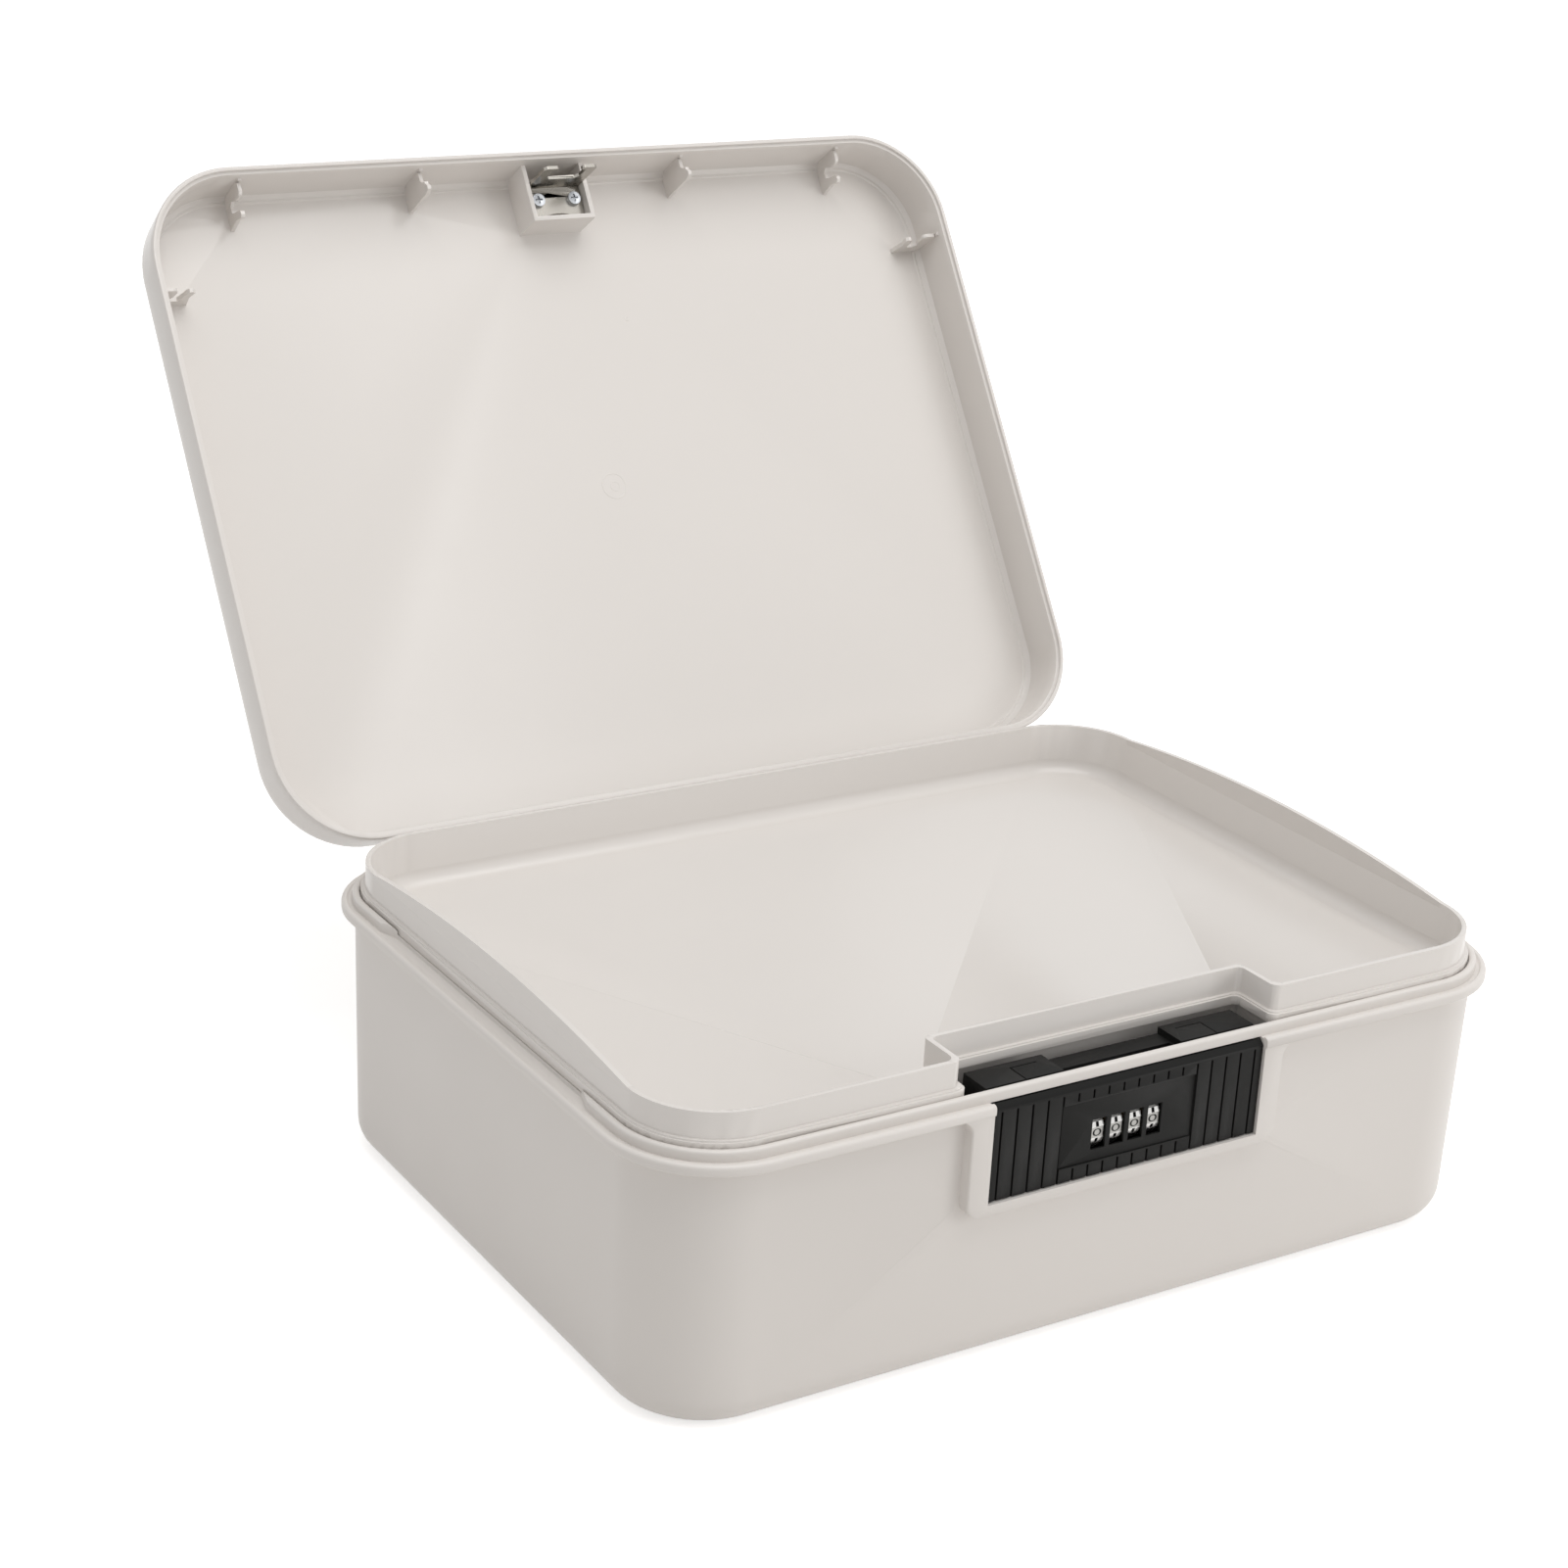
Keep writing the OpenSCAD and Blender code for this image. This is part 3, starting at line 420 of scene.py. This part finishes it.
def cast_dial(name, dial_x, body):
    ring = bmesh.new()
    rims = [chain(ring, outline, dial_x + x) for x in (-dial_half_w, -slot_half_w, slot_half_w, dial_half_w)]
    bores = [chain(ring, bore, dial_x + x) for x in (dial_half_w, -dial_half_w)]
    chains = rims + bores
    for edges, next_edges in zip(chains, chains[1:] + chains[:1]):
        bmesh.ops.bridge_loops(ring, edges=edges + next_edges)
    for left, right in zip(rims, rims[1:]):
        face_between(left[flat_edge], right[flat_edge]).material_index = dial_finishes.index(satin_chrome)
    slot = face_between(rims[1][slot_edge], rims[2][slot_edge])
    middle = slot.calc_center_median()
    inward = Vector((0, dial_axis_y - middle.y, dial_axis_z - middle.z)).normalized()
    deep = only(bmesh.types.BMVert, bmesh.ops.extrude_face_region(ring, geom=[slot])["geom"])
    bmesh.ops.translate(ring, verts=deep, vec=inward * slot_deep)
    ring.faces.remove(slot)
    # The slot's floor and walls get the black as painted shade, where one looks into the dark gap.
    for wall in {wall for vert in deep for wall in vert.link_faces}:
        wall.material_index = dial_finishes.index(black_print_and_slot_shade)
    bmesh.ops.spin(ring, geom=ring.verts[:] + ring.edges[:] + ring.faces[:], axis=(1, 0, 0),
                   cent=(dial_x, dial_axis_y, dial_axis_z), angle=math.radians(flat_turn * (flats - 1)),
                   steps=flats - 1, use_duplicate=True)
    cast = settle(ring, name + "_cast", body, "dial_chrome", *dial_finishes, angle=cast_crease_angle)
    round_edges(cast, "cast edge radius", cast_edge_r, cast_crease_angle)
    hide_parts(name)


# Each digit is a thinned letter, stretched to its size, stood up on the front flat and turned to its own.
# The depth of the letter doesn't matter, because it is pressed flat to the rise of the paint.
def paint_digits(name, dial_x, body):
    digits = bmesh.new()
    for digit in range(flats):
        letter = bpy.data.curves.new("digit", "FONT")
        letter.body = str(digit)
        letter.align_x = "CENTER"
        letter.offset = -stroke_thinned
        letter.extrude = 0.01
        shape = bpy.data.objects.new("digit", letter)
        flat_mesh = bpy.data.meshes.new_from_object(shape)
        corners = [vert.co for vert in flat_mesh.vertices]
        low = Vector(min(corner[i] for corner in corners) for i in range(3))
        high = Vector(max(corner[i] for corner in corners) for i in range(3))
        middle = (low + high) / 2
        width = one_w if digit == 1 else digit_w
        stretch = Matrix.Diagonal((width / (high.x - low.x), digit_h / (high.y - low.y),
                                   digit_rise / (high.z - low.z), 1))
        stand = Matrix.Rotation(math.radians(90), 4, "X")
        turn = Matrix.Rotation(math.radians(-flat_turn * digit), 4, "X")
        outward = Matrix.Translation((0, -flat_r, 0))
        place = Matrix.Translation((dial_x, dial_axis_y, dial_axis_z))
        flat_mesh.transform(place @ turn @ outward @ stand @ stretch @ Matrix.Translation(-middle))
        digits.from_mesh(flat_mesh)
        bpy.data.objects.remove(shape)
        bpy.data.curves.remove(letter)
        bpy.data.meshes.remove(flat_mesh)
    onto_body(digits, name, body, "black_plastic", black_print_and_slot_shade)


for dial, dial_x in enumerate(dial_places, 1):
    cast_dial(f"number_dial_{dial}", dial_x, f"dial_{dial}")
    paint_digits(f"digits_{dial}", dial_x, f"dial_{dial}")


# The tray is a thin white moulding that hangs by its flange on the base's ledge, with a notch for the lock.
# It and the lid's inside come off a polished tool, so they are glossier than the base.
smooth_white = white_polypropylene("smooth moulded polypropylene", "#DBD6D1", "#D9D4CF", 0.20, 0.02)
soft_edged("tray", "lift_tray", "white_plastic", smooth_white, edge_r=0.0003)


# The tray's side walls rise in a shallow arch towards the middle, where fingers lift it.
# Each arch is a crest moulded on the straight wall, a hair thicker than the wall that it covers.
tray_wall_x = 0.1475
tray_wall_t = 0.0016
tray_top_z = 0.0976
arch_rise = 0.0052
arch_half = 0.08075
arch_foot = 0.0015
arch_r = (arch_half ** 2 + arch_rise ** 2) / (2 * arch_rise)
hair = 0.00002

arches = bmesh.new()
for side in (-1, 1):
    strip = bmesh.ops.create_grid(arches, x_segments=40, y_segments=1, size=1)["verts"]
    for vert in strip:
        along = vert.co.x * arch_half
        rise = math.sqrt(arch_r ** 2 - along ** 2) - arch_r + arch_rise
        height = tray_top_z + (rise if vert.co.y > 0 else -arch_foot)
        vert.co = (side * (tray_wall_x + hair), along, height)
    faces = [face for face in arches.faces if all(vert in strip for vert in face.verts)]
    back = bmesh.ops.extrude_face_region(arches, geom=faces)["geom"]
    bmesh.ops.translate(arches, verts=only(bmesh.types.BMVert, back),
                        vec=(-side * (tray_wall_t + 2 * hair), 0, 0))
settle(arches, "tray_arches", "lift_tray", "white_plastic", smooth_white)


# Between the tray's walls and its floor runs a smooth moulded fillet, so that small things scoop out.
# It starts and ends at the notch for the lock, and is swept round the four corners.
fillet_r = 0.0049
fillet_root = 0.0003
tray_floor_z = 0.0800
inner_x = 0.1459
inner_y = 0.10565
inner_corner_r = 0.0249
notch_side_x = 0.0576
bend_x = inner_x - inner_corner_r
bend_y = inner_y - inner_corner_r
quarter_turn = math.radians(90)

fillet = bmesh.new()
start = fillet.verts.new((notch_side_x, -inner_y, tray_floor_z + fillet_r))
bmesh.ops.spin(fillet, geom=[start], cent=(notch_side_x, fillet_r - inner_y, tray_floor_z + fillet_r),
               axis=(1, 0, 0), angle=quarter_turn, steps=8)
bmesh.ops.remove_doubles(fillet, verts=fillet.verts, dist=merge_gap)
arc_ends = [vert for vert in fillet.verts if len(vert.link_edges) == 1]
buried = fillet.verts.new((notch_side_x, -inner_y - fillet_root, tray_floor_z - fillet_root))
for vert in arc_ends:
    fillet.edges.new((vert, buried))
profile = fillet.edges[:]
bmesh.ops.contextual_create(fillet, geom=profile)


def sweep_on(edges, vector):
    grown = bmesh.ops.extrude_edge_only(fillet, edges=edges)["geom"]
    tips = only(bmesh.types.BMVert, grown)
    bmesh.ops.translate(fillet, verts=tips, vec=vector)
    return [edge for edge in only(bmesh.types.BMEdge, grown) if all(vert in tips for vert in edge.verts)]


def sweep_round(edges, centre):
    verts = list(dict.fromkeys(vert for edge in edges for vert in edge.verts))
    last = bmesh.ops.spin(fillet, geom=verts + edges, cent=centre, axis=(0, 0, 1),
                          angle=quarter_turn, steps=12)["geom_last"]
    return only(bmesh.types.BMEdge, last)


profile = sweep_on(profile, (bend_x - notch_side_x, 0, 0))
profile = sweep_round(profile, (bend_x, -bend_y, 0))
profile = sweep_on(profile, (0, 2 * bend_y, 0))
profile = sweep_round(profile, (bend_x, bend_y, 0))
sweep_on(profile, (-bend_x, 0, 0))
bmesh.ops.mirror(fillet, geom=fillet.verts[:] + fillet.edges[:] + fillet.faces[:], matrix=Matrix.Identity(4),
                 merge_dist=merge_gap, axis="X")
settle(fillet, "tray_fillet", "lift_tray", "white_plastic", smooth_white)


# The lid is one white moulding with a stepped edge, hooked ribs and a box for the catch. On the roof's
# inside are the marks of its tool: a ring round the gate in the middle, and a small dot. What is made here
# is laid out on the shut lid and then swung open with it.
roof_z = 0.1042
hinge = Vector((0, 0.12015, 0.0867))
open_angle = math.radians(123.6)
swing = Matrix.Translation(hinge) @ Matrix.Rotation(-open_angle, 4, "X") @ Matrix.Translation(-hinge)
mark_flatness = 0.4

soft_edged("lid_shell", "lid", "white_plastic", smooth_white, edge_r=0.0003)


def tool_mark(name, place, ring_r, wire_r):
    shape = bmesh.new()
    bmesh.ops.create_circle(shape, segments=10, radius=wire_r)
    bmesh.ops.rotate(shape, verts=shape.verts, matrix=Matrix.Rotation(math.radians(90), 3, "X"))
    bmesh.ops.translate(shape, verts=shape.verts, vec=(ring_r, 0, 0))
    bmesh.ops.spin(shape, geom=shape.verts[:] + shape.edges[:], axis=(0, 0, 1), cent=(0, 0, 0),
                   angle=math.radians(360), steps=40, use_merge=True)
    bmesh.ops.scale(shape, verts=shape.verts, vec=(1, 1, mark_flatness))
    bmesh.ops.transform(shape, verts=shape.verts, matrix=swing @ Matrix.Translation(place))
    settle(shape, name, "lid", "white_plastic", smooth_white)


tool_mark("gate_ring", (0, 0.0024, roof_z), ring_r=0.0046, wire_r=0.00025)
tool_mark("gate_stub", (0.0004, 0.0026, roof_z), ring_r=0.0017, wire_r=0.0002)
tool_mark("tool_dot", (0.022, -0.059, roof_z), ring_r=0.0006, wire_r=0.0003)


# The lid's thin ribs have an outer lobe each, so that they hold the tray down on both sides of its wall.
# The two ribs over the lock reach lower, behind the bead. A lobe's outline is given in millimetres, from
# the lid's wall inwards and from its lip up.
lip_z = 0.0853
lid_wall_x = 0.1542
lid_wall_y = -0.11395
front_rib_x = 0.119
lock_rib_x = 0.052
side_rib_y = -0.077
lobe_t = 0.0014
tray_lobe = [(5, 19.2), (5.3, 14.6), (6.2, 14.2), (8.0, 14.2), (8.6, 13), (9.1, 10.5), (9.6, 7.8),
             (10.3, 6.9), (11.4, 6.8), (12.3, 7.5), (12.3, 8.4), (11.5, 12), (12.7, 19.2)]
lock_lobe = [(3, 19.2), (3, 4.9), (4.1, 4.6), (5, 3.8), (5.5, 2.6), (5.6, 1.5), (6.5, 1.3), (7.1, 0.5),
             (7.9, 0.1), (8.8, 0.2), (9.4, 0.9), (9.8, 2.4), (10.2, 19.2)]

lobes = bmesh.new()


def blade(lobe, place):
    corners = [place @ Vector((-lobe_t / 2, inward / 1000, up / 1000)) for inward, up in lobe]
    face = lobes.faces.new([lobes.verts.new(corner) for corner in corners])
    thick = bmesh.ops.extrude_face_region(lobes, geom=[face])["geom"]
    bmesh.ops.translate(lobes, verts=only(bmesh.types.BMVert, thick),
                        vec=place.to_3x3() @ Vector((lobe_t, 0, 0)))


for side in (-1, 1):
    blade(tray_lobe, swing @ Matrix.Translation((side * front_rib_x, lid_wall_y, lip_z)))
    blade(lock_lobe, swing @ Matrix.Translation((side * lock_rib_x, lid_wall_y, lip_z)))
    blade(tray_lobe, swing @ Matrix.Translation((side * lid_wall_x, side_rib_y, lip_z))
          @ Matrix.Rotation(math.radians(side * 90), 4, "Z"))
settle(lobes, "rib_lobes", "lid", "white_plastic", smooth_white)


# The catch is bent from nickel-plated sheet steel and held by two cross-head screws.
# Nickel is a warm bright metal, here with the faint waviness of stamped strip.
nickel = plated_metal("nickel-plated steel", "#ABA7A0", "#A09C95", 0.24, 0.4)
soft_edged("catch_plate", "lid", "plated_steel", nickel, edge_r=0.00015)
soft_edged("catch_screws", "lid", "plated_steel", zinc_plate, edge_r=0.00015)
